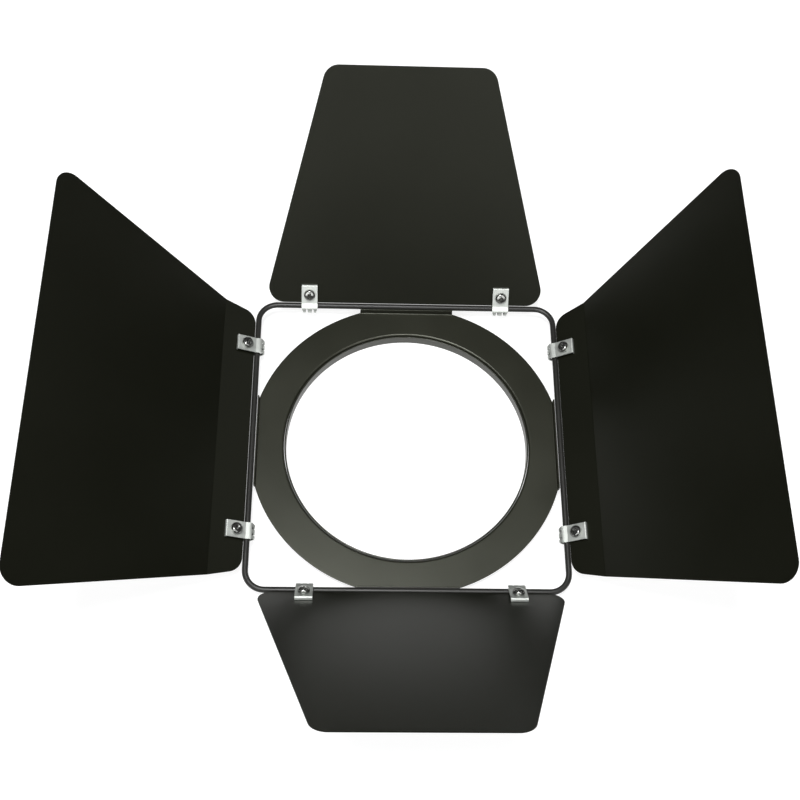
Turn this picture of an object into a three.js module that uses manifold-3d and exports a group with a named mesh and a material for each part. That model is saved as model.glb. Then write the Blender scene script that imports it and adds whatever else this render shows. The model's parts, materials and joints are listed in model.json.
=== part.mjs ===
// Barn door attachment for a large stage lantern: a round plate with four wide leaves
// that hinge on a square wire frame and shape the edge of the light beam.
// Millimetres, +Z up along the beam. The part stands on the rear rim of its collar.

import * as THREE from 'three';
import { mergeVertices } from 'three/addons/utils/BufferGeometryUtils.js';
import Module from 'manifold-3d';

const wasm = await Module();
wasm.setup();
const { Manifold, Mesh } = wasm;

// ---- driving dimensions ----

const airGap = 0.3;              // between pieces that touch on the real object

// round plate, pressed from sheet
const plateRadius = 127;
const plateThickness = 1.0;
const rimWidth = 27.6;           // edge of the plate to the inside of the turned-down edge
const lipDepth = 3.4;            // front face of the plate to the bottom of that edge
const lipBend = 1.9;             // outer radius of the bend

// collar behind the hole, rolled from strip
const collarClearance = 0.4;     // collar to the turned-down edge round it
const collarThickness = 1.2;
const collarRecess = 0.8;        // front edge of the collar below the front of the plate
const collarHeight = 9.2;

// square frame bent from round wire
const wireDiameter = 4.8;
const frameCornerRadius = 15.4;  // on the middle of the wire
const wireClearance = 2.0;       // underside of the wire above the front of the plate

// tabs bent up from the plate, which carry the wire
const tabInset = 5.2;            // edge of the plate to the outside of a tab
const tabHalfWidth = 39;
const tabRise = 5.2;             // top of a tab above the front of the plate
const tabBend = 0.8;             // inside radius of the bend

// leaves, cut from thinner sheet
const leafThickness = 0.8;
const leafClearance = 0.4;       // wire to the near edge of a leaf
const leafCornerRadius = 13;
const smallLeafReach = 198;      // middle of the wire to the far edge
const smallLeafInset = 5.4;      // side of the frame to the near corner of a small leaf
const smallLeafFarHalf = 67.8;
const largeLeafReach = 198.5;    // measured along the folded sheet
const largeLeafInset = 12.7;     // side of the frame to the near corner of a large leaf
const largeLeafFarHalf = 166.5;
const foldDistance = 30;         // middle of the wire to the fold in a large leaf
const foldAngle = 20.2;          // degrees
const foldRadius = 4;

// hinge clips, each one strip bent round the wire
const clipWidth = 13.4;
const clipThickness = 0.9;
const clipInset = 43.5;          // side of the frame to the middle of a clip
const clipReach = 18.4;          // middle of the wire to the outer end of an ear
const earHeight = 3.0;           // middle of an ear off the middle of the leaf
const loopSlack = 1.2;           // loop larger than the wire by this, in radius
const loopOffset = 1.6;          // the loop sits this far inward of the wire
const neckAngle = 8;             // degrees, where the loop opens into the ears
const neckReach = 2.2;           // middle of the wire to the start of a flat ear
const slotWidth = 1.8;           // slots that part the inner side of the loop into fingers
const slotEnd = 0.6;             // slots end this far inward of the middle of the loop
const fingerCount = 3;

// M5 fasteners
const screwDistance = 10.2;      // middle of the wire to the screw
const screwDiameter = 4.9;
const holeClearance = 0.3;
const headRadius = 4.7;
const headHeight = 3.8;
const screwLength = 14;
const recessWidth = 1.2;
const recessReach = 2.2;
const recessDepth = 1.7;
const washerRadius = 5;
const washerThickness = 0.8;
const nutAcrossFlats = 8;
const nutHeight = 4;

// Each leaf as it is set: which way it faces, how far its sheet beside the wire is raised
// from the plane of the plate, and how far it is pushed along the wire.
const leaves = [
  { name: 'right', turn: 0, raise: 35.3, shift: 2.4, large: true },
  { name: 'top', turn: 90, raise: 43.0, shift: 1.2, large: false },
  { name: 'left', turn: 180, raise: 25.4, shift: -2.4, large: true },
  { name: 'bottom', turn: 270, raise: 48.5, shift: 2.4, large: false },
];

// facets on round work
const ringSegments = 96;
const wireSides = 16;
const cornerSteps = 8;
const bendSteps = 4;
const leafCornerSteps = 6;
const foldSteps = 3;
const loopSteps = 8;
const headSteps = 4;
const roundSegments = 20;

// ---- values worked out from them ----

const wireRadius = wireDiameter / 2;
const lipRadius = plateRadius - rimWidth;
const collarOuter = lipRadius - collarClearance;
const collarInner = collarOuter - collarThickness;
const plateFront = collarHeight + collarRecess;
const wireHeight = plateFront + wireClearance + wireRadius;
const tabOuter = plateRadius - tabInset;
const frameHalf = tabOuter + airGap + wireRadius;
const leafNearEdge = wireRadius + leafClearance;
const smallLeafNearHalf = frameHalf - smallLeafInset;
const largeLeafNearHalf = frameHalf - largeLeafInset;
const loopRadius = wireRadius + loopSlack + clipThickness / 2;
const holeRadius = screwDiameter / 2 + holeClearance;
const earOuter = earHeight + clipThickness / 2;
const leafFace = leafThickness / 2;
const clipPlaces = [clipInset - frameHalf, frameHalf - clipInset];
const rad = THREE.MathUtils.degToRad;

const satinBlack = new THREE.MeshStandardMaterial({ color: 0x1b1b18, roughness: 0.5, metalness: 0.3 });
const wireBlack = new THREE.MeshStandardMaterial({ color: 0x20201e, roughness: 0.35, metalness: 0.4 });
const zincStrip = new THREE.MeshStandardMaterial({ color: 0xb9bcb8, roughness: 0.35, metalness: 1.0 });
const zincBright = new THREE.MeshStandardMaterial({ color: 0x9c9f9c, roughness: 0.2, metalness: 1.0 });

// ---- solids ----

// A three.js geometry as a solid that can be cut and joined.
function solid(geometry) {
  const bare = geometry.index ? geometry : geometry.clone();
  bare.deleteAttribute('normal');
  bare.deleteAttribute('uv');
  const merged = mergeVertices(bare, 1e-4);
  const triangles = [];
  for (let i = 0; i < merged.index.count; i += 3) {
    const [a, b, c] = [0, 1, 2].map((k) => merged.index.getX(i + k));
    if (a !== b && b !== c && c !== a) triangles.push(a, b, c);
  }
  return new Manifold(new Mesh({
    numProp: 3,
    vertProperties: new Float32Array(merged.attributes.position.array),
    triVerts: new Uint32Array(triangles),
  }));
}

// A solid back as a three.js geometry.
function geometryOf(manifold) {
  const mesh = manifold.getMesh();
  const geometry = new THREE.BufferGeometry();
  geometry.setAttribute('position', new THREE.BufferAttribute(mesh.vertProperties, 3));
  geometry.setIndex(new THREE.BufferAttribute(mesh.triVerts, 1));
  geometry.computeVertexNormals();
  return geometry;
}

// A shape drawn in the XY plane, made `depth` thick from z = base upward.
function slab(shape, base, depth) {
  const geometry = new THREE.ExtrudeGeometry(shape, { depth, bevelEnabled: false });
  return geometry.translate(0, 0, base);
}

// A side profile (x outward, y off the sheet) drawn out along Y, `width` wide about y = 0.
function drawnOut(shape, width) {
  const geometry = new THREE.ExtrudeGeometry(shape, { depth: width, bevelEnabled: false });
  return geometry.rotateX(Math.PI / 2).translate(0, width / 2, 0);
}

// A closed profile of [radius, height] points turned round the Z axis.
function turned(points, segments) {
  const profile = points.map(([r, z]) => new THREE.Vector2(r, z));
  return new THREE.LatheGeometry(profile, segments).rotateX(Math.PI / 2);
}

// A round bar along Z from one height to another.
function bar(radius, bottom, top) {
  const geometry = new THREE.CylinderGeometry(radius, radius, top - bottom, roundSegments);
  return geometry.rotateX(Math.PI / 2).translate(0, 0, (top + bottom) / 2);
}

// Points of an arc, as [x, y] pairs, angles in degrees.
function arc(x, y, radius, from, to, steps) {
  return Array.from({ length: steps + 1 }, (_, i) => {
    const angle = rad(from + ((to - from) * i) / steps);
    return [x + radius * Math.cos(angle), y + radius * Math.sin(angle)];
  });
}

function shapeOf(points) {
  return new THREE.Shape(points.map(([x, y]) => new THREE.Vector2(x, y)));
}

// ---- plate, collar and wire frame ----

// The plate lies with its front face at `plateFront`. On four sides its disc is cut back to
// the start of a bend, and a tab stands there.
function ringPlate() {
  const bendAt = lipRadius + lipBend;
  const section = [
    [plateRadius, 0],
    ...arc(bendAt, -lipBend, lipBend, 90, 180, bendSteps),
    [lipRadius, -lipDepth],
    [lipRadius + plateThickness, -lipDepth],
    ...arc(bendAt, -lipBend, lipBend - plateThickness, 180, 90, bendSteps),
    [plateRadius, -plateThickness],
    [plateRadius, 0],
  ];
  const flat = tabOuter - plateThickness - tabBend;
  const offcut = new THREE.BoxGeometry(plateRadius, 2 * tabHalfWidth, 4 * plateThickness);
  offcut.translate(flat + plateRadius / 2, 0, 0);
  const tab = drawnOut(tabProfile(flat), 2 * tabHalfWidth);
  let plate = solid(turned(section, ringSegments));
  for (const { turn } of leaves) {
    plate = plate.subtract(solid(offcut).rotate([0, 0, turn]));
    plate = plate.add(solid(tab).rotate([0, 0, turn]));
  }
  return geometryOf(plate.translate([0, 0, plateFront]));
}

// Side view of a tab: out along the plate, round the bend and up beside the wire.
function tabProfile(flat) {
  const overlap = 2;
  return shapeOf([
    [flat - overlap, -plateThickness],
    ...arc(flat, tabBend, tabBend + plateThickness, -90, 0, bendSteps),
    [tabOuter, tabRise],
    [tabOuter - plateThickness, tabRise],
    ...arc(flat, tabBend, tabBend, 0, -90, bendSteps),
    [flat - overlap, 0],
  ]);
}

function rearCollar() {
  return turned([
    [collarInner, 0],
    [collarOuter, 0],
    [collarOuter, collarHeight],
    [collarInner, collarHeight],
    [collarInner, 0],
  ], ringSegments);
}

// The middle line of the wire: a square with round corners. It starts and ends at the
// middle of one side, where the two ends of the wire meet.
class FrameLine extends THREE.Curve {
  constructor() {
    super();
    const straight = frameHalf - frameCornerRadius;
    this.stations = [{ x: airGap / 2, y: -frameHalf, heading: 0 }];
    for (let corner = 0; corner < 4; corner++) {
      const sideways = rad(90 * corner);
      const centre = new THREE.Vector2(straight, -straight).rotateAround(new THREE.Vector2(), sideways);
      const start = 90 * corner - 90;
      const bend = arc(centre.x, centre.y, frameCornerRadius, start, start + 90, cornerSteps);
      bend.forEach(([x, y], i) => this.stations.push({ x, y, heading: 90 * (corner + i / cornerSteps) }));
    }
    this.stations.push({ x: -airGap / 2, y: -frameHalf, heading: 360 });
  }

  station(t) {
    return this.stations[Math.round(t * (this.stations.length - 1))];
  }

  getPoint(t, target = new THREE.Vector3()) {
    return target.set(this.station(t).x, this.station(t).y, 0);
  }

  getPointAt(u, target) {
    return this.getPoint(u, target);
  }

  getTangentAt(u, target = new THREE.Vector3()) {
    const heading = rad(this.station(u).heading);
    return target.set(Math.cos(heading), Math.sin(heading), 0);
  }
}

function wireFrame() {
  const line = new FrameLine();
  const section = shapeOf(arc(0, 0, wireRadius, 0, 360, wireSides).slice(0, -1));
  const steps = line.stations.length - 1;
  return new THREE.ExtrudeGeometry(section, { steps, extrudePath: line, bevelEnabled: false });
}

// ---- a leaf and its clips, with the wire along Y and the sheet in the XY plane ----

// An outline through [x, y, radius] corners, each rounded to its radius.
function roundedOutline(corners) {
  const points = corners.flatMap(([x, y, radius], i) => {
    const here = new THREE.Vector2(x, y);
    const [before, after] = [corners.at(i - 1), corners[(i + 1) % corners.length]]
      .map(([px, py]) => new THREE.Vector2(px, py).sub(here).normalize());
    if (!radius) return [[x, y]];
    const half = Math.acos(before.dot(after)) / 2;
    const toCentre = before.clone().add(after).normalize().multiplyScalar(radius / Math.sin(half));
    const centre = here.clone().add(toCentre);
    const first = here.clone().addScaledVector(before, radius / Math.tan(half)).sub(centre);
    const turn = Math.sign(before.cross(after)) * (2 * half - Math.PI);
    return Array.from({ length: leafCornerSteps + 1 }, (_, k) => {
      const point = first.clone().rotateAround(new THREE.Vector2(), (turn * k) / leafCornerSteps);
      return [centre.x + point.x, centre.y + point.y];
    });
  });
  return shapeOf(points);
}

// The screw holes of a leaf or of one ear, cut right through.
function drilled(body, places) {
  const drill = solid(bar(holeRadius, -nutAcrossFlats, nutAcrossFlats));
  return places.reduce((part, y) => part.subtract(drill.translate([screwDistance, y, 0])), body);
}

function smallLeaf() {
  const outline = roundedOutline([
    [leafNearEdge, -smallLeafNearHalf, leafCornerRadius],
    [smallLeafReach, -smallLeafFarHalf, leafCornerRadius],
    [smallLeafReach, smallLeafFarHalf, leafCornerRadius],
    [leafNearEdge, smallLeafNearHalf, leafCornerRadius],
  ]);
  return geometryOf(drilled(solid(slab(outline, -leafFace, leafThickness)), clipPlaces));
}

// A large leaf is folded along a line beside the wire. The folded sheet is made wider than the
// leaf, then trimmed square to the strip beside the wire and square to the panel beyond.
function largeLeaf() {
  const slope = (largeLeafFarHalf - largeLeafNearHalf) / (largeLeafReach - leafNearEdge);
  const foldHalf = largeLeafNearHalf + slope * (foldDistance - leafNearEdge);
  const open = 2 * largeLeafFarHalf;
  const overlap = foldRadius;
  const panelReach = largeLeafReach - foldDistance;
  const foldFrom = foldDistance - foldRadius * Math.tan(rad(foldAngle) / 2);
  const fold = new THREE.Vector2(foldDistance, 0);
  const panelEnd = (y) => new THREE.Vector2(panelReach, y)
    .rotateAround(new THREE.Vector2(), rad(foldAngle))
    .add(fold)
    .toArray();
  const sheet = drawnOut(shapeOf([
    [leafNearEdge, -leafFace],
    ...arc(foldFrom, foldRadius, foldRadius + leafFace, -90, foldAngle - 90, foldSteps),
    panelEnd(-leafFace),
    panelEnd(leafFace),
    ...arc(foldFrom, foldRadius, foldRadius - leafFace, foldAngle - 90, -90, foldSteps),
    [leafNearEdge, leafFace],
  ]), open);
  const stripTrim = slab(roundedOutline([
    [leafNearEdge, -largeLeafNearHalf, leafCornerRadius],
    [foldDistance + overlap, -foldHalf - slope * overlap, 0],
    [foldDistance + overlap, -open, 0],
    [open, -open, 0],
    [open, open, 0],
    [foldDistance + overlap, open, 0],
    [foldDistance + overlap, foldHalf + slope * overlap, 0],
    [leafNearEdge, largeLeafNearHalf, leafCornerRadius],
  ]), -open, 2 * open);
  const panelTrim = slab(roundedOutline([
    [-open, -open, 0],
    [-overlap, -open, 0],
    [-overlap, slope * overlap - foldHalf, 0],
    [panelReach, -largeLeafFarHalf, leafCornerRadius],
    [panelReach, largeLeafFarHalf, leafCornerRadius],
    [-overlap, foldHalf - slope * overlap, 0],
    [-overlap, open, 0],
    [-open, open, 0],
  ]), -open, 2 * open);
  const trimmed = solid(sheet)
    .intersect(solid(stripTrim))
    .intersect(solid(panelTrim).rotate([0, -foldAngle, 0]).translate([foldDistance, 0, 0]));
  return geometryOf(drilled(trimmed, clipPlaces));
}

// A clip is one strip: an ear in front of the leaf, a loop round the wire and an ear behind.
// The end of each ear turns down onto the leaf. Slots part the inner side of the loop into
// fingers.
function hingeClip() {
  const half = clipThickness / 2;
  const neck = THREE.MathUtils.radToDeg(Math.acos(loopOffset / loopRadius)) - neckAngle;
  const endOfEar = leafFace + airGap;
  const front = (t) => [
    [clipReach - half + t, endOfEar],
    [clipReach - half + t, earHeight + t],
    [neckReach, earHeight + t],
    ...arc(-loopOffset, 0, loopRadius + t, neck, 180, loopSteps),
  ];
  const both = (t) => {
    const upper = front(t);
    const lower = upper.slice(0, -1).map(([x, y]) => [x, -y]).reverse();
    return [...upper, ...lower];
  };
  const strip = solid(drawnOut(shapeOf([...both(half), ...both(-half).reverse()]), clipWidth));
  const pitch = (clipWidth + slotWidth) / fingerCount;
  const depth = 2 * loopRadius;
  const slot = new THREE.BoxGeometry(depth, slotWidth, 2 * depth);
  slot.translate(-loopOffset - slotEnd - depth / 2, 0, 0);
  let clip = strip;
  for (let i = 1; i < fingerCount; i++) {
    clip = clip.subtract(solid(slot).translate([0, (i - fingerCount / 2) * pitch, 0]));
  }
  return geometryOf(drilled(clip, [0]));
}

// A pan-head screw, head up, with a cross recess. The underside of the head is at z = 0.
function clipScrew() {
  const shank = screwDiameter / 2;
  const crown = headHeight - 0.4 * headHeight;
  const body = solid(turned([
    [0, headHeight],
    ...arc(headRadius - crown, headHeight - crown, crown, 90, 0, headSteps),
    [headRadius, 0],
    [shank, 0],
    [shank, -screwLength],
    [0, -screwLength],
  ].reverse(), roundSegments));
  const arm = new THREE.BoxGeometry(2 * recessReach, recessWidth, 2 * recessDepth);
  arm.translate(0, 0, headHeight);
  const cross = solid(arm).add(solid(arm).rotate([0, 0, 90]));
  return geometryOf(body.subtract(cross));
}

function washer() {
  const outline = shapeOf(arc(0, 0, washerRadius, 0, 360, roundSegments).slice(0, -1));
  outline.holes.push(shapeOf(arc(0, 0, holeRadius, 0, 360, roundSegments).slice(0, -1)));
  return slab(outline, -washerThickness, washerThickness);
}

function nut() {
  const cornerRadius = nutAcrossFlats / 2 / Math.cos(rad(30));
  const outline = shapeOf(arc(0, 0, cornerRadius, 0, 360, 6).slice(0, -1));
  outline.holes.push(shapeOf(arc(0, 0, holeRadius, 0, 360, roundSegments).slice(0, -1)));
  return slab(outline, -nutHeight, nutHeight);
}

// ---- the assembly ----

function piece(name, geometry, material, parent, place = [0, 0, 0]) {
  const mesh = new THREE.Mesh(geometry, material);
  mesh.name = name;
  mesh.position.set(...place);
  parent.add(mesh);
}

const barnDoor = new THREE.Group();
const body = new THREE.Group();
barnDoor.add(body);

piece('ring_plate', ringPlate(), satinBlack, body);
piece('rear_collar', rearCollar(), satinBlack, body);
piece('wire_frame', wireFrame(), wireBlack, body, [0, 0, wireHeight]);

const geometries = {
  large: largeLeaf(),
  small: smallLeaf(),
  clip: hingeClip(),
  screw: clipScrew(),
  washer: washer(),
  nut: nut(),
};
const headSeat = earOuter + airGap;
const nutSeat = -headSeat - washerThickness - airGap;

for (const { name, turn, raise, shift, large } of leaves) {
  const side = new THREE.Group();
  side.rotation.z = rad(turn);
  const hinge = new THREE.Group();
  hinge.position.set(frameHalf, shift, wireHeight);
  hinge.rotation.y = -rad(raise);
  body.add(side);
  side.add(hinge);
  piece(`leaf_${name}`, large ? geometries.large : geometries.small, satinBlack, hinge);
  clipPlaces.forEach((y, i) => {
    const tag = `${name}_${i + 1}`;
    piece(`clip_${tag}`, geometries.clip, zincStrip, hinge, [0, y, 0]);
    piece(`screw_${tag}`, geometries.screw, zincBright, hinge, [screwDistance, y, headSeat]);
    piece(`washer_${tag}`, geometries.washer, zincBright, hinge, [screwDistance, y, -headSeat]);
    piece(`nut_${tag}`, geometries.nut, zincBright, hinge, [screwDistance, y, nutSeat]);
  });
}

// The part stands on z = 0, and the origin is under the middle of its box.
barnDoor.updateMatrixWorld(true);
const box = new THREE.Box3().setFromObject(barnDoor, true);
body.position.set(-(box.min.x + box.max.x) / 2, -(box.min.y + box.max.y) / 2, -box.min.z);

export default barnDoor;
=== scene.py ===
# %% [markdown]
# # Barn doors for a stage lantern
# A barn door slides into the front of a stage lantern. Four wide leaves hinge on a square
# wire frame, and each one cuts off one side of the beam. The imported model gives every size
# and place, so this lesson only adds what makes sheet steel look like sheet steel: rounded
# edges, real bends, threads, powder coat and zinc.

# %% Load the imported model
import json
import math

import bmesh
import bpy
from mathutils import Matrix, Vector


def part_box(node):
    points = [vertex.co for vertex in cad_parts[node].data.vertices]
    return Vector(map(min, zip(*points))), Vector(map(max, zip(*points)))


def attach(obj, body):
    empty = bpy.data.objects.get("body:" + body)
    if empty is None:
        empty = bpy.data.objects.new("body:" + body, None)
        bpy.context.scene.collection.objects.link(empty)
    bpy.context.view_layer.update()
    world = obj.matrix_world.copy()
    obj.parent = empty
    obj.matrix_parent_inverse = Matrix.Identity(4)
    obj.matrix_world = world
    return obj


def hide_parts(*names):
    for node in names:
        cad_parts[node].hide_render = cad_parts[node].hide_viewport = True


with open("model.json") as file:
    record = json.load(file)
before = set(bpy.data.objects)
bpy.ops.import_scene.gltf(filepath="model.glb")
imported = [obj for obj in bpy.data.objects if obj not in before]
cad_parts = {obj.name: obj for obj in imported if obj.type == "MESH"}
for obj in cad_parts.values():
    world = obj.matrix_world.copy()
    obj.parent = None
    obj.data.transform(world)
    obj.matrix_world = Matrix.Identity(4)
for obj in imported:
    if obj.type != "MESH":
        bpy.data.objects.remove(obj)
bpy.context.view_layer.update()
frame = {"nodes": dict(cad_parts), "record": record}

print("packed nodes:", len(frame["nodes"]))

# %% [markdown]
# ## Sizes
# Blender works in metres, and sheet metal is drawn in millimetres. Each piece is drawn in
# millimetres about its own origin, then placed with one matrix, so the numbers below can be
# checked with a ruler on the real thing.

# %% Sizes of the pieces, in millimetres
MM = 0.001
PLATE_RADIUS = 127.0
PLATE_THICKNESS = 1.0
LIP_RADIUS = 99.4
LIP_DEPTH = 3.4
LIP_BEND = 1.9
TAB_OUTER = 121.8
TAB_HALF_WIDTH = 39.0
TAB_RISE = 5.2
TAB_BEND = 0.8
WIRE_RADIUS = 2.4
FRAME_HALF = 124.5
FRAME_CORNER = 15.4
LEAF_THICKNESS = 0.8
LEAF_NEAR = 2.8
LEAF_CORNER = 13.0
FOLD_DISTANCE = 30.0
FOLD_ANGLE = 20.2
FOLD_RADIUS = 4.0
CLIP_WIDTH = 13.4
CLIP_THICKNESS = 0.9
CLIP_PLACE = 81.0
CLIP_REACH = 18.4
EAR_HEIGHT = 3.0
LOOP_RADIUS = 4.05
LOOP_OFFSET = 1.6
SLOT_WIDTH = 1.8
SLOT_END = 0.6
SCREW_DISTANCE = 10.2
SCREW_RADIUS = 2.45
HOLE_RADIUS = 2.75
HEAD_RADIUS = 4.7
HEAD_HEIGHT = 3.8
SCREW_LENGTH = 14.0
WASHER_RADIUS = 5.0
WASHER_THICKNESS = 0.8
NUT_FLATS = 8.0
NUT_HEIGHT = 4.0
AIR_GAP = 0.3
WIRE_JOINT = 0.08
WIRE_SIDES = 28
SHEET_EDGE = 0.3

# %% Places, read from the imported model
collar_low, collar_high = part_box("rear_collar")
plate_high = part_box("ring_plate")[1]
wire_low, wire_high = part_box("wire_frame")
beam_axis = (collar_low + collar_high) / 2
plate_front = plate_high.z - TAB_RISE * MM
wire_height = (wire_low.z + wire_high.z) / 2
hinges = {joint["child"]: joint for joint in frame["record"]["behaviour"]["joints"]}
print("beam axis:", [round(c, 5) for c in beam_axis], "plate front:", round(plate_front, 5))
print("hinged bodies:", sorted(hinges))

# %% [markdown]
# ## The camera
# The camera looks down on the front of the barn doors from a little to one side, so the
# near leaves look short and the far one looks long. Where it looks, how far away it stands
# and how much it tips over are easier to read than a raw matrix, so it is built from those.

# %% Camera
camera_data = bpy.data.cameras.new("camera")
camera_data.lens = 53.47
camera_data.sensor_width = 36.0
camera = bpy.data.objects.new("camera", camera_data)
bpy.context.scene.collection.objects.link(camera)
ring_centre = Vector((beam_axis.x, beam_axis.y, plate_front))
camera.location = ring_centre + Vector((-40.15, -383.74, 883.29)) * MM
aim = ring_centre + Vector((-5.44, 38.84, 0.0)) * MM
look = (aim - camera.location).to_track_quat("-Z", "Y")
tip = Matrix.Rotation(math.radians(5.08), 4, "Z")
camera.matrix_world = Matrix.Translation(camera.location) @ look.to_matrix().to_4x4() @ tip
camera_data.clip_start = 0.05
camera_data.clip_end = 20.0
bpy.context.scene.camera = camera
print("camera stands", round((aim - camera.location).length, 3), "m from the plate")

# %% [markdown]
# ## Helpers
# Every piece goes through the same last steps: draw it in millimetres, let a few modifiers
# round it off, then keep the finished mesh. A small bevel matters more than anything else
# here, because real cut sheet always has an edge that catches the light.

# %% From a drawing to a finished mesh
def mesh_from(name, bm):
    bmesh.ops.remove_doubles(bm, verts=bm.verts, dist=1e-5)
    bmesh.ops.recalc_face_normals(bm, faces=bm.faces)
    mesh = bpy.data.meshes.new(name)
    bm.to_mesh(mesh)
    bm.free()
    return mesh


def rough_object(name, mesh):
    obj = bpy.data.objects.new(name, mesh)
    bpy.context.scene.collection.objects.link(obj)
    return obj


def worked_in(obj):
    """The object's mesh with its modifiers worked in."""
    depsgraph = bpy.context.evaluated_depsgraph_get()
    return bpy.data.meshes.new_from_object(obj.evaluated_get(depsgraph))


def finished(obj, smooth_angle=32.0):
    """The finished mesh. Weighted normals keep flat faces flat right up to their soft edges."""
    shaped = worked_in(obj)
    bpy.data.objects.remove(obj)
    shaped.shade_smooth()
    shaped.set_sharp_from_angle(angle=math.radians(smooth_angle))
    shaded = rough_object("shaded", shaped)
    weigh = shaded.modifiers.new("normals", "WEIGHTED_NORMAL")
    weigh.keep_sharp = True
    weigh.weight = 80
    mesh = worked_in(shaded)
    bpy.data.objects.remove(shaded)
    return mesh


def add_bevel(obj, width, segments=2, angle=40.0):
    bevel = obj.modifiers.new("bevel", "BEVEL")
    bevel.width = width
    bevel.segments = segments
    bevel.limit_method = "ANGLE"
    bevel.angle_limit = math.radians(angle)
    bevel.harden_normals = False


def cut_with(obj, cutter, operation="DIFFERENCE"):
    cut = obj.modifiers.new("cut", "BOOLEAN")
    cut.operation = operation
    cut.solver = "EXACT"
    cut.object = cutter
    return cutter


# %% Outlines with rounded corners
def arc(x, y, radius, start, end, steps):
    angles = [math.radians(start + (end - start) * i / steps) for i in range(steps + 1)]
    return [(x + radius * math.cos(a), y + radius * math.sin(a)) for a in angles]


def rounded_path(corners, steps=8, closed=False):
    """[x, y, radius] corners to points. The ends of an open path stay sharp."""
    points = []
    count = len(corners)
    for i, (x, y, radius) in enumerate(corners):
        if radius == 0 or (not closed and i in (0, count - 1)):
            points.append((x, y))
            continue
        here = Vector((x, y))
        before = (Vector(corners[i - 1][:2]) - here).normalized()
        after = (Vector(corners[(i + 1) % count][:2]) - here).normalized()
        half = before.angle(after) / 2
        centre = here + (before + after).normalized() * radius / math.sin(half)
        first = here + before * radius / math.tan(half) - centre
        last = here + after * radius / math.tan(half) - centre
        sweep = first.angle_signed(last)
        for k in range(steps + 1):
            spoke = first.copy()
            spoke.rotate(Matrix.Rotation(-sweep * k / steps, 2))
            points.append((centre.x + spoke.x, centre.y + spoke.y))
    return points


corner_test = rounded_path([(0, 0, 0), (4, 0, 1), (4, 4, 0)], 2)
print("corner test:", [(round(x, 2), round(y, 2)) for x, y in corner_test])

# %% Turned pieces
def turned(profile, steps):
    """A closed (radius, height) profile spun round the upright axis."""
    bm = bmesh.new()
    rows = []
    for i in range(steps):
        angle = 2 * math.pi * i / steps
        across, along = math.cos(angle), math.sin(angle)
        rows.append([bm.verts.new((r * across, r * along, z)) for r, z in profile])
    for i, row in enumerate(rows):
        after = rows[(i + 1) % steps]
        for k in range(len(profile)):
            n = (k + 1) % len(profile)
            bm.faces.new([row[k], after[k], after[n], row[n]])
    bmesh.ops.remove_doubles(bm, verts=bm.verts, dist=1e-5)
    bmesh.ops.dissolve_degenerate(bm, edges=bm.edges, dist=1e-6)
    return bm


print("ring test:", len(turned([(1, 0), (2, 0), (2, 1), (1, 1)], 12).verts), "points")

# %% [markdown]
# ## Finishes
# Three things on this object look different up close. The sheet and the wire are powder
# coated, a paint baked on as dust, which leaves a fine pebbled skin like orange peel. The
# clips are rolled strip with a bright zinc plate, so they keep faint lines along the strip.
# The screws, washers and nuts have the same zinc on smoother steel, but their colour is
# painted darker than the clips' as painted shade for the dark room their round heads mirror.
# The pebbles could be modelled, but they are far under a millimetre, so a bump does it.

# %% Powder coat as a node group
def new_group(name, inputs, outputs):
    group = bpy.data.node_groups.new(name, "ShaderNodeTree")
    for label, kind, value in inputs:
        socket = group.interface.new_socket(label, in_out="INPUT", socket_type=kind)
        if value is not None:
            socket.default_value = value
    for label, kind in outputs:
        group.interface.new_socket(label, in_out="OUTPUT", socket_type=kind)
    return group, group.nodes.new("NodeGroupInput"), group.nodes.new("NodeGroupOutput")


def maths(tree, operation, first, second):
    node = tree.nodes.new("ShaderNodeMath")
    node.operation = operation
    for socket, value in zip(node.inputs, (first, second)):
        if isinstance(value, (int, float)):
            socket.default_value = value
        else:
            tree.links.new(value, socket)
    return node.outputs[0]


def noise(tree, vector, scale, detail=2.0, roughness=0.5):
    node = tree.nodes.new("ShaderNodeTexNoise")
    tree.links.new(vector, node.inputs["Vector"])
    if isinstance(scale, (int, float)):
        node.inputs["Scale"].default_value = scale
    else:
        tree.links.new(scale, node.inputs["Scale"])
    node.inputs["Detail"].default_value = detail
    node.inputs["Roughness"].default_value = roughness
    return node.outputs[0]


coat_group, coat_in, coat_out = new_group(
    "powder_coat",
    [("Vector", "NodeSocketVector", None), ("Pebble Size", "NodeSocketFloat", 1100.0),
     ("Patch Size", "NodeSocketFloat", 9.0), ("Fleck Amount", "NodeSocketFloat", 0.35)],
    [("Tone", "NodeSocketFloat"), ("Gloss", "NodeSocketFloat"), ("Height", "NodeSocketFloat")],
)
pebbles = noise(coat_group, coat_in.outputs["Vector"], coat_in.outputs["Pebble Size"], 3.0, 0.6)
patches = noise(coat_group, coat_in.outputs["Vector"], coat_in.outputs["Patch Size"], 2.0, 0.5)
centred = maths(coat_group, "SUBTRACT", pebbles, 0.5)
flecks = maths(coat_group, "MULTIPLY", centred, coat_in.outputs["Fleck Amount"])
calm_patches = maths(coat_group, "MULTIPLY", patches, 0.7)
coat_group.links.new(maths(coat_group, "ADD", patches, flecks), coat_out.inputs["Tone"])
coat_group.links.new(maths(coat_group, "ADD", calm_patches, flecks), coat_out.inputs["Gloss"])
coat_group.links.new(pebbles, coat_out.inputs["Height"])
print("made group:", coat_group.name)

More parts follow.
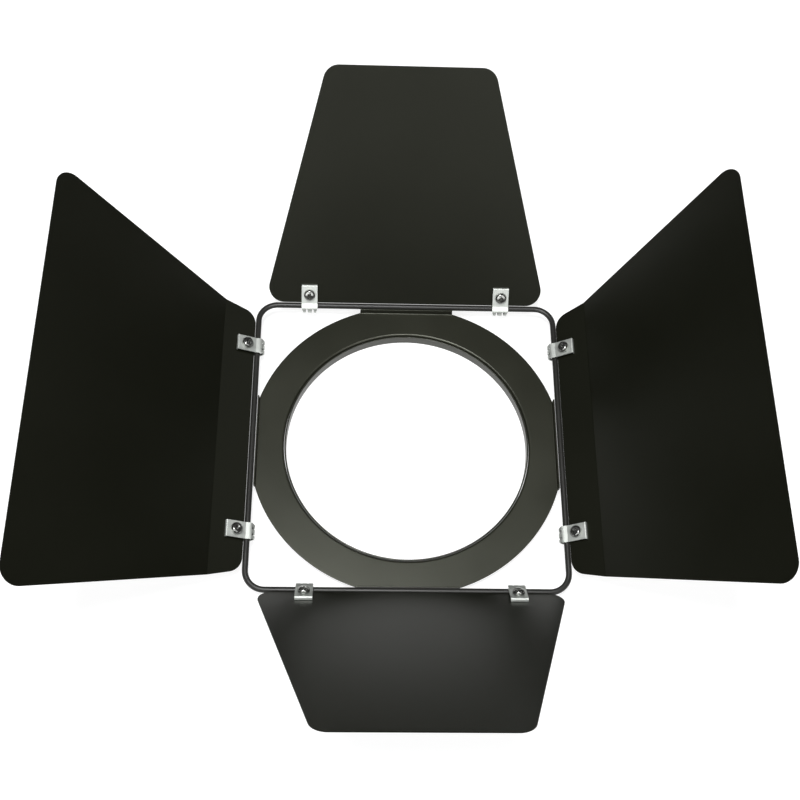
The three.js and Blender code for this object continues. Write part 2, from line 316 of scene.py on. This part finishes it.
# %% Rolled zinc as a node group
# Rolling marks run along the strip, so the noise is squeezed across it and stretched along it.
zinc_group, zinc_in, zinc_out = new_group(
    "rolled_zinc",
    [("Vector", "NodeSocketVector", None), ("Line Scale", "NodeSocketFloat", 900.0),
     ("Cloud Scale", "NodeSocketFloat", 120.0), ("Stretch", "NodeSocketFloat", 0.04)],
    [("Tone", "NodeSocketFloat"), ("Gloss", "NodeSocketFloat"), ("Height", "NodeSocketFloat")],
)
squeeze = zinc_group.nodes.new("ShaderNodeCombineXYZ")
zinc_group.links.new(zinc_in.outputs["Stretch"], squeeze.inputs[0])
squeeze.inputs[1].default_value = 1.0
zinc_group.links.new(zinc_in.outputs["Stretch"], squeeze.inputs[2])
along = zinc_group.nodes.new("ShaderNodeVectorMath")
along.operation = "MULTIPLY"
zinc_group.links.new(zinc_in.outputs["Vector"], along.inputs[0])
zinc_group.links.new(squeeze.outputs[0], along.inputs[1])
lines = noise(zinc_group, along.outputs[0], zinc_in.outputs["Line Scale"], 3.0, 0.65)
clouds = noise(zinc_group, zinc_in.outputs["Vector"], zinc_in.outputs["Cloud Scale"], 3.0, 0.55)
line_share = maths(zinc_group, "MULTIPLY", lines, 0.45)
cloud_share = maths(zinc_group, "MULTIPLY", clouds, 0.55)
zinc_group.links.new(maths(zinc_group, "ADD", line_share, cloud_share), zinc_out.inputs["Tone"])
zinc_group.links.new(clouds, zinc_out.inputs["Gloss"])
zinc_group.links.new(lines, zinc_out.inputs["Height"])
print("made group:", zinc_group.name)

# %% Materials
def finish_material(
        name, group, settings, colours, roughness, bump, metallic=0.0, specular=0.5, tint=1.0):
    """A Principled material whose colour, roughness and bump follow one of the groups.

    colours and roughness each give the two ends of a range, and bump is (strength, distance in
    metres). A tint under 1 turns the shine a little yellow green, as on this powder coat.
    """
    material = bpy.data.materials.new(name)
    material.use_nodes = True
    tree = material.node_tree
    shader = tree.nodes["Principled BSDF"]
    shader.inputs["Metallic"].default_value = metallic
    shader.inputs["Specular IOR Level"].default_value = specular
    shader.inputs["Specular Tint"].default_value = (0.8 + tint / 5, 1.0, tint, 1.0)
    place = tree.nodes.new("ShaderNodeTexCoord")
    detail = tree.nodes.new("ShaderNodeGroup")
    detail.node_tree = group
    tree.links.new(place.outputs["Object"], detail.inputs["Vector"])
    for label, value in settings.items():
        detail.inputs[label].default_value = value
    blend = tree.nodes.new("ShaderNodeMix")
    blend.data_type = "RGBA"
    blend.inputs["A"].default_value = (*colours[0], 1.0)
    blend.inputs["B"].default_value = (*colours[1], 1.0)
    tree.links.new(detail.outputs["Tone"], blend.inputs["Factor"])
    tree.links.new(blend.outputs["Result"], shader.inputs["Base Color"])
    rough = tree.nodes.new("ShaderNodeMapRange")
    rough.inputs["From Min"].default_value = 0.25
    rough.inputs["From Max"].default_value = 0.75
    rough.inputs["To Min"].default_value = roughness[0]
    rough.inputs["To Max"].default_value = roughness[1]
    tree.links.new(detail.outputs["Gloss"], rough.inputs["Value"])
    tree.links.new(rough.outputs["Result"], shader.inputs["Roughness"])
    relief = tree.nodes.new("ShaderNodeBump")
    relief.inputs["Strength"].default_value = bump[0]
    relief.inputs["Distance"].default_value = bump[1]
    tree.links.new(detail.outputs["Height"], relief.inputs["Height"])
    tree.links.new(relief.outputs["Normal"], shader.inputs["Normal"])
    return material


plate_coat = {"Pebble Size": 1300.0, "Patch Size": 14.0, "Fleck Amount": 0.5}
plate_colours = ((0.0088, 0.0092, 0.0058), (0.0155, 0.016, 0.0105))
plate_black = finish_material(
    "plate_black", coat_group, plate_coat, plate_colours,
    roughness=(0.31, 0.41), bump=(0.22, 0.00025), tint=0.86)
collar_black = finish_material(
    "collar_black", coat_group, plate_coat, plate_colours,
    roughness=(0.29, 0.38), bump=(0.2, 0.00025), specular=0.62, tint=0.9)
wire_black = finish_material(
    "wire_black", coat_group, {"Pebble Size": 900.0, "Patch Size": 22.0, "Fleck Amount": 0.4},
    ((0.009, 0.009, 0.0078), (0.017, 0.017, 0.015)),
    roughness=(0.38, 0.5), bump=(0.18, 0.0002), specular=0.42)
leaf_black = finish_material(
    "leaf_black", coat_group, {"Pebble Size": 1300.0, "Patch Size": 7.0, "Fleck Amount": 0.4},
    ((0.0036, 0.0039, 0.002), (0.0063, 0.0067, 0.004)),
    roughness=(0.3, 0.42), bump=(0.22, 0.00025), specular=0.22, tint=0.86)
clip_zinc = finish_material(
    "clip_zinc", zinc_group, {"Line Scale": 1500.0, "Cloud Scale": 140.0, "Stretch": 0.04},
    ((0.48, 0.505, 0.48), (0.76, 0.785, 0.75)),
    roughness=(0.46, 0.62), bump=(0.14, 0.00012), metallic=1.0)
# Painted shade: this zinc is much darker than the clip zinc, standing in for the dark surroundings
# mirrored in the round heads.
screw_zinc = finish_material(
    "screw_zinc", zinc_group, {"Line Scale": 500.0, "Cloud Scale": 260.0, "Stretch": 0.6},
    ((0.2, 0.205, 0.195), (0.36, 0.365, 0.35)),
    roughness=(0.14, 0.28), bump=(0.05, 0.0001), metallic=1.0)
finishes = (plate_black, collar_black, wire_black, leaf_black, clip_zinc, screw_zinc)
print("materials:", [material.name for material in finishes])

# %% Placing a finished piece
def place_piece(node, mesh, material, body, place, turned_about=True):
    """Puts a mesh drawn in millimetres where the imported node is, and hides that node. A big
    leaf is turned in its mesh instead, so that its measuring box is no larger than the leaf."""
    own = mesh.copy()
    own.name = node + "_look"
    own.transform(Matrix.Scale(MM, 4))
    if not turned_about:
        own.transform(place.to_quaternion().to_matrix().to_4x4())
        place = Matrix.Translation(place.translation)
    own.materials.clear()
    own.materials.append(material)
    obj = bpy.data.objects.new(node + "_look", own)
    bpy.context.scene.collection.objects.link(obj)
    obj.matrix_world = place
    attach(obj, body)
    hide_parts(node)
    return obj


plate_place = Matrix.Translation(ring_centre)

# %% [markdown]
# ## The round plate
# The plate is one pressing: a flat ring, its hole turned down into a soft lip, and four tabs
# bent up at the sides. It could be a lathe shape with the tabs joined on by a boolean, but
# joins like that leave ragged edges where the bend meets the flat. Instead each column of
# points runs from the lip out along the plate, and ends either in a rounded rim or in a
# bent-up tab, so the bends stay smooth all the way.

# %% Round plate with its lip and tabs
def plate_columns():
    """Each column's direction, and the points of its outer end with the way that end faces.

    Every section starts and stops 0.4 mm before its bend with a point on the flat, which
    holds the shading of the flat part flat. The tab and the rim have equally many points.
    """
    thick = PLATE_THICKNESS
    bend_start = TAB_OUTER - thick - TAB_BEND
    tab_inner, tab_outer = TAB_OUTER - thick + SHEET_EDGE, TAB_OUTER - SHEET_EDGE
    tab_top = TAB_RISE - SHEET_EDGE
    tab_end = [(bend_start - 0.4, 0.0)]
    tab_end += arc(bend_start, TAB_BEND, TAB_BEND, -90, 0, 6)
    tab_end += arc(tab_inner, tab_top, SHEET_EDGE, 180, 90, 3)
    tab_end += arc(tab_outer, tab_top, SHEET_EDGE, 90, 0, 3)
    tab_end += arc(bend_start, TAB_BEND, TAB_BEND + thick, 0, -90, 6)
    tab_end += [(bend_start - 0.4, -thick)]
    rim = PLATE_RADIUS - thick / 2
    rim_end = [(rim - 0.4, 0.0)]
    rim_end += arc(rim, -thick / 2, thick / 2, 90, -90, len(tab_end) - 3)
    rim_end += [(rim - 0.4, -thick)]
    corner = math.degrees(math.atan2(TAB_HALF_WIDTH, bend_start)) + 0.06
    columns = []
    for side in range(4):
        turn = 90.0 * side
        for i in range(13):
            across = -TAB_HALF_WIDTH + 2 * TAB_HALF_WIDTH * i / 12
            spread = math.degrees(math.atan2(across, bend_start))
            ends = [(Vector((x, across, z)), turn) for x, z in tab_end]
            columns.append((turn + spread, ends))
        span = 90.0 - 2 * corner
        for i in range(29):
            angle = corner + span * i / 28
            ends = [(Vector((r, 0, z)), turn + angle) for r, z in rim_end]
            columns.append((turn + angle, ends))
    return columns


def ring_plate_mesh():
    lip_inner, lip_outer = LIP_RADIUS + SHEET_EDGE, LIP_RADIUS + PLATE_THICKNESS - SHEET_EDGE
    lip_foot = -LIP_DEPTH + SHEET_EDGE
    lip = [(lip_outer, -LIP_DEPTH), (lip_inner, -LIP_DEPTH)]
    lip += arc(lip_inner, lip_foot, SHEET_EDGE, 270, 180, 3)[1:]
    lip += arc(LIP_RADIUS + LIP_BEND, -LIP_BEND, LIP_BEND, 180, 90, 12)
    lip.append((LIP_RADIUS + LIP_BEND + 0.4, 0.0))
    under = [(LIP_RADIUS + LIP_BEND + 0.4, -PLATE_THICKNESS)]
    under += arc(LIP_RADIUS + LIP_BEND, -LIP_BEND, LIP_BEND - PLATE_THICKNESS, 90, 180, 8)
    under += arc(lip_outer, lip_foot, SHEET_EDGE, 0, -90, 3)[:-1]
    bm = bmesh.new()
    rows = []
    for angle, ends in plate_columns():
        spin = Matrix.Rotation(math.radians(angle), 3, "Z")
        row = [spin @ Vector((r, 0, z)) for r, z in lip]
        row += [Matrix.Rotation(math.radians(turn), 3, "Z") @ point for point, turn in ends]
        row += [spin @ Vector((r, 0, z)) for r, z in under]
        rows.append([bm.verts.new(point) for point in row])
    for i, row in enumerate(rows):
        after = rows[(i + 1) % len(rows)]
        for k in range(len(row)):
            n = (k + 1) % len(row)
            bm.faces.new([row[k], row[n], after[n], after[k]])
    return mesh_from("ring_plate", bm)


plate_mesh = finished(rough_object("ring_plate_rough", ring_plate_mesh()), 35.0)
place_piece("ring_plate", plate_mesh, plate_black, "frame", plate_place)
print("round plate:", len(plate_mesh.vertices), "points")

# %% [markdown]
# ## The collar
# Behind the hole sits a short tube rolled from strip. It stands just inside the lip, and the
# thin dark line between the two is the shadow in that gap, so the gap has to be real.

# %% Collar behind the hole
collar_outer = LIP_RADIUS - 0.4
collar_inner = collar_outer - 1.2
collar_top = collar_high.z / MM - ring_centre.z / MM
collar_bottom = collar_low.z / MM - ring_centre.z / MM
collar_section = rounded_path([
    (collar_inner, collar_bottom, 0.25), (collar_outer, collar_bottom, 0.25),
    (collar_outer, collar_top, 0.35), (collar_inner, collar_top, 0.35)], 4, closed=True)
collar_drawing = mesh_from("rear_collar", turned(collar_section, 200))
collar_mesh = finished(rough_object("rear_collar_rough", collar_drawing), 50.0)
place_piece("rear_collar", collar_mesh, collar_black, "frame", plate_place)
print("collar stands", round(collar_top - collar_bottom, 2), "mm tall")

# %% [markdown]
# ## The wire frame
# The leaves hinge on a square of round wire with bent corners. A curve with a bevel would
# make the wire in one step, but sweeping a ring of points by hand gives even spacing round
# the bends and two clean cut ends where the wire meets itself.

# %% Square wire frame
def wire_frame_mesh():
    straight = FRAME_HALF - FRAME_CORNER
    stations = [(WIRE_JOINT / 2, -FRAME_HALF, 0.0)]
    for corner in range(4):
        centre = Matrix.Rotation(math.radians(90 * corner), 2) @ Vector((straight, -straight))
        for i in range(19):
            heading = 90.0 * corner + 5.0 * i
            angle = math.radians(heading - 90)
            point = centre + FRAME_CORNER * Vector((math.cos(angle), math.sin(angle)))
            stations.append((point.x, point.y, heading))
    stations.append((-WIRE_JOINT / 2, -FRAME_HALF, 360.0))
    bm = bmesh.new()
    rows = []
    for x, y, heading in stations:
        outward = math.radians(heading - 90)
        row = []
        for k in range(WIRE_SIDES):
            turn = 2 * math.pi * k / WIRE_SIDES
            away, height = WIRE_RADIUS * math.cos(turn), WIRE_RADIUS * math.sin(turn)
            point = (x + away * math.cos(outward), y + away * math.sin(outward), height)
            row.append(bm.verts.new(point))
        rows.append(row)
    for row, after in zip(rows, rows[1:]):
        for k in range(WIRE_SIDES):
            n = (k + 1) % WIRE_SIDES
            bm.faces.new([row[k], row[n], after[n], after[k]])
    bm.faces.new(rows[0])
    bm.faces.new(list(reversed(rows[-1])))
    return mesh_from("wire_frame", bm)


wire_rough = rough_object("wire_frame_rough", wire_frame_mesh())
add_bevel(wire_rough, 0.1, 1, 60.0)
wire_mesh = finished(wire_rough, 40.0)
wire_place = Matrix.Translation(Vector((beam_axis.x, beam_axis.y, wire_height)))
place_piece("wire_frame", wire_mesh, wire_black, "frame", wire_place)
print("wire:", len(wire_mesh.vertices), "points")

# %% [markdown]
# ## The leaves
# A leaf is thinner sheet with big round corners. The two large ones are folded once beside
# the wire. Sheet is best drawn as its middle surface, one row of points after another going
# away from the wire, and given its thickness by a Solidify modifier. The rows follow the
# fold, so the bend is a true small radius and not a crease.

# %% Sheet metal leaves
def hole_cutter(places, reach):
    bm = bmesh.new()
    for x, y in places:
        bmesh.ops.create_cone(
            bm, cap_ends=True, segments=32, radius1=HOLE_RADIUS, radius2=HOLE_RADIUS,
            depth=2 * reach, matrix=Matrix.Translation((x, y, 0)))
    return rough_object("hole_cutter", mesh_from("hole_cutter", bm))


def leaf_mesh(name, reach, near_half, far_half, fold):
    outline = rounded_path([
        (LEAF_NEAR, 0, 0), (LEAF_NEAR, near_half, LEAF_CORNER),
        (reach, far_half, LEAF_CORNER), (reach, 0, 0)], 12)[1:-1]
    tangent = FOLD_RADIUS * math.tan(math.radians(FOLD_ANGLE) / 2)
    slope = (far_half - near_half) / (reach - LEAF_NEAR)
    rows = list(outline)
    if fold:
        for i in range(7):
            x = FOLD_DISTANCE - tangent + 2 * tangent * i / 6
            rows.append((x, near_half + slope * (x - LEAF_NEAR)))
    for x in (50.0, 75.0, 100.0, 125.0, 150.0, 170.0):
        rows.append((x, near_half + slope * (x - LEAF_NEAR)))
    rows.sort()
    bm = bmesh.new()
    made = []
    for x, half in rows:
        flat_x, height = x, 0.0
        if fold and x > FOLD_DISTANCE - tangent:
            along = min((x - FOLD_DISTANCE + tangent) / (2 * tangent), 1.0) * math.radians(FOLD_ANGLE)
            flat_x = FOLD_DISTANCE - tangent + FOLD_RADIUS * math.sin(along)
            height = FOLD_RADIUS * (1 - math.cos(along))
            beyond = max(x - FOLD_DISTANCE - tangent, 0.0)
            flat_x += beyond * math.cos(along)
            height += beyond * math.sin(along)
        sides = (-1, -0.5, 0, 0.5, 1)
        made.append([bm.verts.new((flat_x, half * side, height)) for side in sides])
    for row, after in zip(made, made[1:]):
        for k in range(4):
            bm.faces.new([row[k], after[k], after[k + 1], row[k + 1]])
    rough = rough_object(name, mesh_from(name, bm))
    thick = rough.modifiers.new("thickness", "SOLIDIFY")
    thick.thickness = LEAF_THICKNESS
    thick.offset = 0.0
    thick.use_even_offset = True
    screw_places = [(SCREW_DISTANCE, -CLIP_PLACE), (SCREW_DISTANCE, CLIP_PLACE)]
    cutter = cut_with(rough, hole_cutter(screw_places, 3.0))
    add_bevel(rough, 0.16, 2, 50.0)
    mesh = finished(rough, 30.0)
    bpy.data.objects.remove(cutter)
    return mesh


small_leaf = leaf_mesh("small_leaf", 198.0, 119.1, 67.8, False)
large_leaf = leaf_mesh("large_leaf", 198.5, 111.8, 166.5, True)
print("small leaf:", len(small_leaf.vertices), "points")
print("large leaf:", len(large_leaf.vertices), "points")

# %% [markdown]
# ## The hinge clips
# Each clip is one zinc-plated strip. It starts as an ear in front of the leaf, wraps round
# the wire with room to spare, and comes back as a second ear behind. The inner side of the
# wrap is parted into three fingers, and the end of each ear is turned down onto the leaf, so
# the tightened screw springs the ears together and grips the wire. The strip's middle line
# is drawn once from the side, spread across the width, and thickened like the leaves.

# %% Hinge clip
def clip_middle_line():
    half = CLIP_THICKNESS / 2
    neck = math.degrees(math.acos(LOOP_OFFSET / LOOP_RADIUS)) - 8.0
    ear_end = CLIP_REACH - half
    leaf_face = LEAF_THICKNESS / 2 + AIR_GAP
    loop = arc(-LOOP_OFFSET, 0, LOOP_RADIUS, neck + 7.0, 180, 16)
    neck_x = -LOOP_OFFSET + LOOP_RADIUS * math.cos(math.radians(neck))
    neck_z = LOOP_RADIUS * math.sin(math.radians(neck))
    ear_start = 2.4
    ear = rounded_path([
        (ear_end, leaf_face, 0), (ear_end, EAR_HEIGHT, 0.75),
        (ear_start, EAR_HEIGHT, 1.6), (neck_x, neck_z, 0)], 4)[:-1]
    upper = ear + loop
    lower = [(x, -z) for x, z in reversed(upper[:-1])]
    return upper + lower


def clip_mesh():
    finger = (CLIP_WIDTH - 2 * SLOT_WIDTH) / 3
    half = CLIP_WIDTH / 2
    inner, outer = half - finger - SLOT_WIDTH, half - finger
    across = [-half, -outer, -inner, inner, outer, half]
    most_taper = 1.3
    slot_from = -LOOP_OFFSET - SLOT_END
    deepest = -LOOP_OFFSET - LOOP_RADIUS
    bm = bmesh.new()
    rows = []
    for x, z in clip_middle_line():
        inward = max(0.0, (slot_from - x) / (slot_from - deepest))
        side = half - most_taper * math.sqrt(inward)
        widths = [-side] + across[1:-1] + [side]
        rows.append((x, [bm.verts.new((x, y, z)) for y in widths]))
    for (x, row), (next_x, after) in zip(rows, rows[1:]):
        in_slot = (x + next_x) / 2 < slot_from
        for k in range(5):
            if in_slot and k in (1, 3):
                continue
            bm.faces.new([row[k], after[k], after[k + 1], row[k + 1]])
    loose = [v for v in bm.verts if not v.link_faces]
    bmesh.ops.delete(bm, geom=loose, context="VERTS")
    rough = rough_object("clip", mesh_from("clip", bm))
    thick = rough.modifiers.new("thickness", "SOLIDIFY")
    thick.thickness = CLIP_THICKNESS
    thick.offset = 0.0
    thick.use_even_offset = True
    cutter = cut_with(rough, hole_cutter([(SCREW_DISTANCE, 0.0)], 8.0))
    add_bevel(rough, 0.14, 2, 45.0)
    mesh = finished(rough, 30.0)
    bpy.data.objects.remove(cutter)
    return mesh


clip = clip_mesh()
print("clip:", len(clip.vertices), "points")

# %% [markdown]
# ## Screws, washers and nuts
# The screws are pan heads with a cross recess. The thread is a ring of points whose radius
# rises and falls as it climbs, which is the real shape of a thread and needs no screw
# modifier. The recess is cut with two tapered blades. The nuts start as a six-sided bar
# cut by a turned cone, which gives the curved chamfer that every real nut has.

# %% Screw
def screw_mesh():
    crown = 2.1
    shoulder = arc(HEAD_RADIUS - crown, HEAD_HEIGHT - crown - 0.35, crown, 0, 75, 7)
    dome_radius, dome_foot = shoulder[-1]
    dome_rise = HEAD_HEIGHT - dome_foot
    dome = [(dome_radius * t, HEAD_HEIGHT - dome_rise * t * t) for t in (0.8, 0.6, 0.4, 0.2)]
    head = [(HEAD_RADIUS - 0.2, 0.0), (HEAD_RADIUS, 0.2)] + shoulder + dome
    sides = 32
    pitch = 0.8
    thread_depth = 0.42
    rings = [[point] * sides for point in reversed(head)]
    rings.append([(SCREW_RADIUS - 0.05, 0.0)] * sides)
    steps = int((SCREW_LENGTH - 1.0) / pitch * 6)
    for i in range(steps + 1):
        z = -0.6 - (SCREW_LENGTH - 1.1) * i / steps
        fade = min(1.0, i / 6.0, (steps - i) / 8.0 + 0.3)
        ring = []
        for k in range(sides):
            phase = (z / pitch + k / sides) % 1.0
            depth = thread_depth * abs(2 * phase - 1) * fade
            ring.append((SCREW_RADIUS - 0.02 - depth, z))
        rings.append(ring)
    rings.append([(SCREW_RADIUS - 0.85, -SCREW_LENGTH)] * sides)
    bm = bmesh.new()
    spokes = [2 * math.pi * k / sides for k in range(sides)]
    rows = []
    for ring in rings:
        rows.append([
            bm.verts.new((r * math.cos(spoke), r * math.sin(spoke), z))
            for (r, z), spoke in zip(ring, spokes)])
    for row, after in zip(rows, rows[1:]):
        for k in range(sides):
            n = (k + 1) % sides
            bm.faces.new([row[k], after[k], after[n], row[n]])
    bm.faces.new(rows[0])
    bm.faces.new(list(reversed(rows[-1])))
    rough = rough_object("screw", mesh_from("screw", bm))
    blades = []
    for turn in (0.0, 90.0):
        blade = bmesh.new()
        square_on = Matrix.Rotation(math.radians(45), 4, "Z")
        across = Matrix.Rotation(math.radians(turn), 3, "Z")
        bmesh.ops.create_cone(
            blade, cap_ends=True, segments=4, radius1=0.85, radius2=3.1, depth=1.9,
            matrix=Matrix.Translation((0, 0, HEAD_HEIGHT - 0.75)) @ square_on)
        bmesh.ops.scale(blade, vec=(1.0, 0.42, 1.0), verts=blade.verts)
        bmesh.ops.rotate(blade, cent=(0, 0, 0), matrix=across, verts=blade.verts)
        blades.append(cut_with(rough, rough_object("blade", mesh_from("blade", blade))))
    mesh = finished(rough, 38.0)
    for blade in blades:
        bpy.data.objects.remove(blade)
    return mesh


screw = screw_mesh()
print("screw:", len(screw.vertices), "points")

# %% Washer and nut
def washer_mesh():
    section = rounded_path([
        (HOLE_RADIUS, -WASHER_THICKNESS, 0.12), (WASHER_RADIUS, -WASHER_THICKNESS, 0.2),
        (WASHER_RADIUS, 0.0, 0.2), (HOLE_RADIUS, 0.0, 0.12)], 3, closed=True)
    return finished(rough_object("washer", mesh_from("washer", turned(section, 40))), 50.0)


def nut_mesh():
    corner_radius = NUT_FLATS / 2 / math.cos(math.radians(30))
    bm = bmesh.new()
    bmesh.ops.create_cone(
        bm, cap_ends=True, segments=6, radius1=corner_radius, radius2=corner_radius,
        depth=NUT_HEIGHT, matrix=Matrix.Translation((0, 0, -NUT_HEIGHT / 2)))
    rough = rough_object("nut", mesh_from("nut", bm))
    face_radius = NUT_FLATS / 2 - 0.1
    cone = turned([
        (0.0, 0.0), (face_radius, 0.0), (corner_radius + 0.2, -0.45),
        (corner_radius + 0.2, 0.45 - NUT_HEIGHT), (face_radius, -NUT_HEIGHT), (0.0, -NUT_HEIGHT)], 48)
    chamfer = cut_with(rough, rough_object("nut_cone", mesh_from("nut_cone", cone)), "INTERSECT")
    bore = turned([
        (0.0, 0.1), (3.05, 0.1), (2.55, -0.4), (2.55, 0.4 - NUT_HEIGHT),
        (3.05, -NUT_HEIGHT - 0.1), (0.0, -NUT_HEIGHT - 0.1)], 32)
    hole = cut_with(rough, rough_object("nut_bore", mesh_from("nut_bore", bore)))
    add_bevel(rough, 0.06, 1, 50.0)
    mesh = finished(rough, 30.0)
    for cutter in (chamfer, hole):
        bpy.data.objects.remove(cutter)
    return mesh


washer = washer_mesh()
nut = nut_mesh()
print("washer:", len(washer.vertices), "points, nut:", len(nut.vertices))

# %% [markdown]
# ## Setting the leaves
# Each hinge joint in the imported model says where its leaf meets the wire. A leaf and its
# fasteners are placed with the same matrix: turn to face the side, go to the joint, and
# raise by the angle at which the leaf is set. No two screws stop at the same turn, so each
# gets a small turn of its own.

# %% Place the leaves and their fasteners
settings = [
    ("right", 0.0, 35.3, large_leaf), ("top", 90.0, 43.0, small_leaf),
    ("left", 180.0, 25.4, large_leaf), ("bottom", 270.0, 48.5, small_leaf)]
head_seat = EAR_HEIGHT + CLIP_THICKNESS / 2 + AIR_GAP
nut_seat = -head_seat - WASHER_THICKNESS - AIR_GAP


def at_screw(hinge, across, height, spin):
    """A place on the line of one screw, this high off the middle of the leaf."""
    spot = Matrix.Translation(Vector((SCREW_DISTANCE, across, height)) * MM)
    return hinge @ spot @ Matrix.Rotation(math.radians(spin), 4, "Z")


for order, (side, turn, raised, leaf) in enumerate(settings):
    body = f"leaf_{side}_assembly"
    facing = Matrix.Rotation(math.radians(turn), 4, "Z")
    lifted = Matrix.Rotation(-math.radians(raised), 4, "Y")
    hinge = Matrix.Translation(Vector(hinges[body]["pos_m"])) @ facing @ lifted
    place_piece(f"leaf_{side}", leaf, leaf_black, body, hinge, False)
    for number, across in enumerate((-CLIP_PLACE, CLIP_PLACE), 1):
        tag = f"{side}_{number}"
        count = 2 * order + number
        clip_at = hinge @ Matrix.Translation((0, across * MM, 0))
        screw_at = at_screw(hinge, across, head_seat, 37.0 * count)
        washer_at = at_screw(hinge, across, -head_seat, 0.0)
        nut_at = at_screw(hinge, across, nut_seat, 23.0 * count)
        place_piece(f"clip_{tag}", clip, clip_zinc, body, clip_at)
        place_piece(f"screw_{tag}", screw, screw_zinc, body, screw_at)
        place_piece(f"washer_{tag}", washer, screw_zinc, body, washer_at)
        place_piece(f"nut_{tag}", nut, screw_zinc, body, nut_at)
    print("set", side, "leaf at", raised, "degrees")

# %% [markdown]
# ## Studio
# The set is plain: a pale floor and soft light from above. Black satin metal shows little
# but what it reflects, so one wide soft lamp overhead and a dim room do most of the work.
#
# The floor glows a little, as a light table does. That keeps the shadows pale. The room is
# dim to anything that it lights or is mirrored in, and pale only where it is looked at. Two
# faint lamps at the far side lift the strips of the large leaves beside the wire.

# %% Floor, lamps and room
floor_bm = bmesh.new()
bmesh.ops.create_grid(floor_bm, x_segments=1, y_segments=1, size=0.8)
floor = rough_object("floor", mesh_from("floor", floor_bm))
floor.location.z = -0.0005
floor_paint = bpy.data.materials.new("floor_paint")
floor_paint.use_nodes = True
floor_shader = floor_paint.node_tree.nodes["Principled BSDF"]
floor_shader.inputs["Base Color"].default_value = (0.38, 0.38, 0.38, 1.0)
floor_shader.inputs["Roughness"].default_value = 0.9
floor_shader.inputs["Emission Color"].default_value = (1.0, 1.0, 1.0, 1.0)
floor_seen = floor_paint.node_tree.nodes.new("ShaderNodeLightPath")
floor_glow = floor_paint.node_tree.nodes.new("ShaderNodeMapRange")
floor_glow.inputs["To Min"].default_value = 0.58
floor_glow.inputs["To Max"].default_value = 0.8
floor_links = floor_paint.node_tree.links
floor_links.new(floor_seen.outputs["Is Camera Ray"], floor_glow.inputs["Value"])
floor_links.new(floor_glow.outputs["Result"], floor_shader.inputs["Emission Strength"])
floor.data.materials.append(floor_paint)


def soft_lamp(name, location, size, power):
    """A round lamp of this size in metres and power in watts, aimed at the origin."""
    data = bpy.data.lights.new(name, "AREA")
    data.shape = "DISK"
    data.size = size
    data.energy = power
    lamp = bpy.data.objects.new(name, data)
    bpy.context.scene.collection.objects.link(lamp)
    lamp.location = location
    lamp.rotation_mode = "QUATERNION"
    lamp.rotation_quaternion = (-Vector(location)).to_track_quat("-Z", "Y")


soft_lamp("overhead_lamp", (-0.2, -0.16, 2.2), 0.7, 44.0)
soft_lamp("left_lamp", (-1.05, -1.5, 2.0), 1.7, 23.0)
soft_lamp("right_lamp", (1.05, -1.5, 2.0), 1.7, 17.0)
soft_lamp("left_fill", (-1.6, 1.05, 1.4), 1.2, 0.8)
soft_lamp("right_fill", (1.6, 1.05, 1.4), 1.2, 2.3)
room = bpy.data.worlds.new("room")
room.use_nodes = True
room_light = room.node_tree.nodes["Background"]
room_light.inputs["Color"].default_value = (1.0, 1.0, 1.0, 1.0)
seen = room.node_tree.nodes.new("ShaderNodeLightPath")
brightness = room.node_tree.nodes.new("ShaderNodeMapRange")
brightness.inputs["To Min"].default_value = 0.08
brightness.inputs["To Max"].default_value = 1.0
room.node_tree.links.new(seen.outputs["Is Camera Ray"], brightness.inputs["Value"])
room.node_tree.links.new(brightness.outputs["Result"], room_light.inputs["Strength"])
bpy.context.scene.world = room
bpy.context.scene.view_settings.view_transform = "Standard"
